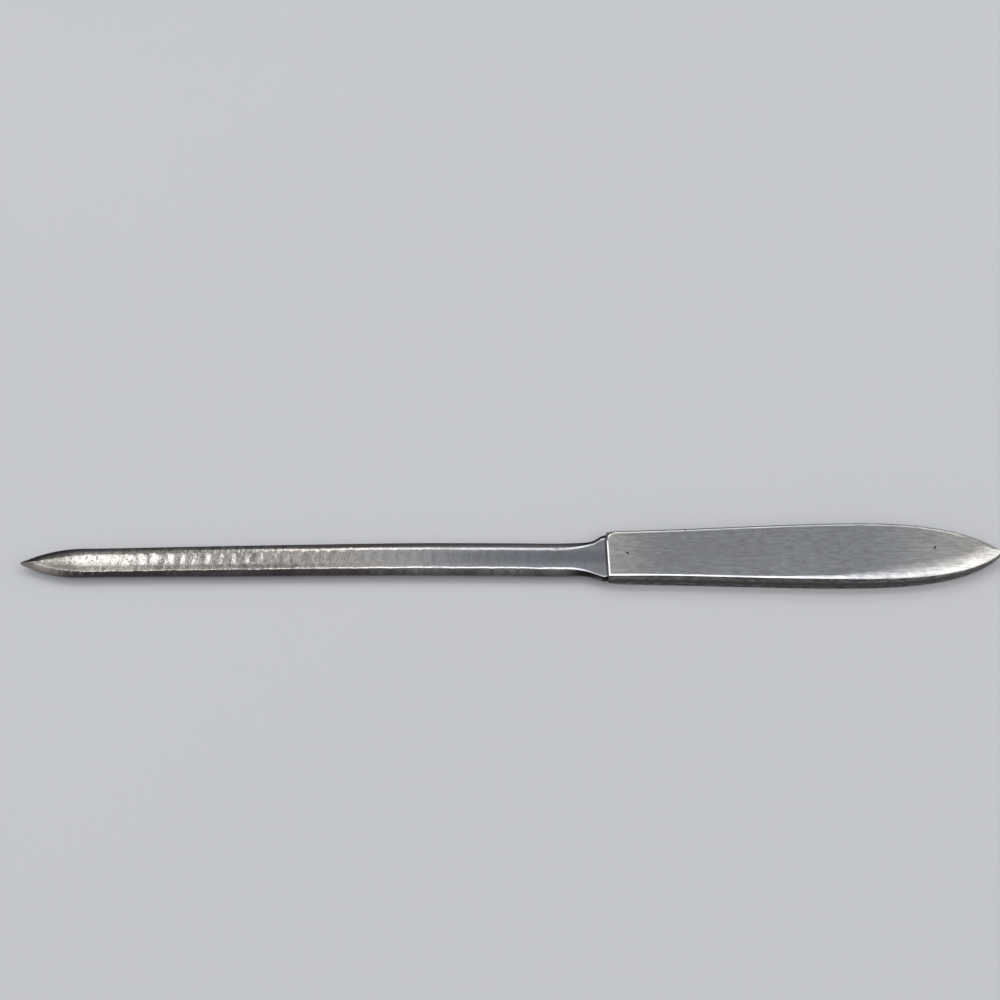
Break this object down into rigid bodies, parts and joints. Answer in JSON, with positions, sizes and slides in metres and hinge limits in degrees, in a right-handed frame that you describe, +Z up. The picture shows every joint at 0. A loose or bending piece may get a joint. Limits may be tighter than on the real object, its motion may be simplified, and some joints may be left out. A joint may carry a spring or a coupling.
{
  "type": "letter opener",
  "caption": "Slim all-metal letter opener: a narrow bevelled blade with an arched point, flared into a flat handle of pinned plates that swells and arches to a pointed end.",
  "frame": {"origin": "middle of the overall length, on the centre line, at the underside of the lower plate", "axes": "+X along the letter opener from the blade's point to the handle's tip, +Y across the blade, +Z up through the thickness"},
  "size_m": [0.216, 0.0154, 0.0037],
  "materials": {
    "blade_steel": "worn polish with cross-ground marks",
    "plate_steel": "worn satin, handled edges",
    "pin_steel": "peened and ground flush"
  },
  "bodies": {
    "root": {"blade": "blade_steel", "upper_plate": "plate_steel", "lower_plate": "plate_steel", "front_pin": "pin_steel", "rear_pin": "pin_steel"}
  },
  "joints": []
}
